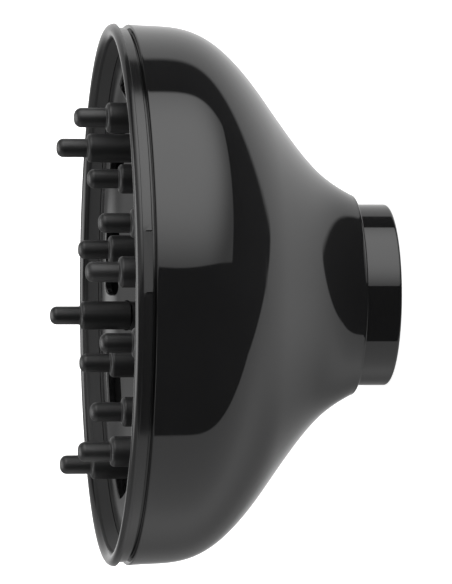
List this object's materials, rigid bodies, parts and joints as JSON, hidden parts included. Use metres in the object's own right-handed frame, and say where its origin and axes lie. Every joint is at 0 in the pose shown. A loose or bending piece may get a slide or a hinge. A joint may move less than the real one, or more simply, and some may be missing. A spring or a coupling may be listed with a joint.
{
  "type": "dryer diffuser",
  "caption": "Salon hair dryer diffuser: glossy turned bell on a swivelling barrel collar, with a push-fit front grille of stepped fingers and curved air slots.",
  "frame": {"origin": "centre of the collar's end face, on the diffuser's axis", "axes": "+Z along the axis from the barrel collar towards the fingers; +Y points to one of the six outer fingers and to the land between two air slots, in the mirror plane, with a locating tab of the bezel at -Y and at +Y; +X completes the frame and points to an inner finger"},
  "size_m": [0.16, 0.16, 0.0955],
  "materials": {
    "shell_gloss": "high-gloss black moulded plastic",
    "bezel_satin": "semi-gloss black moulded plastic",
    "plate_gloss": "semi-gloss black moulded plastic",
    "finger_matte": "satin black soft-touch plastic",
    "grip_rubber": "dark grey silicone rubber",
    "screw_steel": "zinc plated steel"
  },
  "bodies": {
    "collar": {"neck_collar": "shell_gloss", "grip_ring": "grip_rubber"},
    "bell": {"outer_shell": "shell_gloss", "collar_retainer": "bezel_satin", "retainer_screw_1": "screw_steel", "retainer_screw_2": "screw_steel", "retainer_screw_3": "screw_steel"},
    "grille": {"front_bezel": "bezel_satin", "seal_ring": "grip_rubber", "finger_plate": "plate_gloss", "outer_finger_1": "finger_matte", "outer_finger_2": "finger_matte", "outer_finger_3": "finger_matte", "outer_finger_4": "finger_matte", "outer_finger_5": "finger_matte", "outer_finger_6": "finger_matte", "inner_finger_1": "finger_matte", "inner_finger_2": "finger_matte", "inner_finger_3": "finger_matte", "inner_finger_4": "finger_matte", "inner_finger_5": "finger_matte", "inner_finger_6": "finger_matte", "air_deflector": "bezel_satin", "deflector_screw_1": "screw_steel", "deflector_screw_2": "screw_steel", "deflector_screw_3": "screw_steel"}
  },
  "joints": [
    {"name": "collar_swivel", "type": "hinge", "parent": "collar", "child": "bell", "pos_m": [0, 0, 0], "axis": [0, 0, 1], "continuous": true},
    {"name": "front_release", "type": "slide", "parent": "bell", "child": "grille", "axis": [0, 0, 1], "range_m": [0, 0.03]}
  ]
}
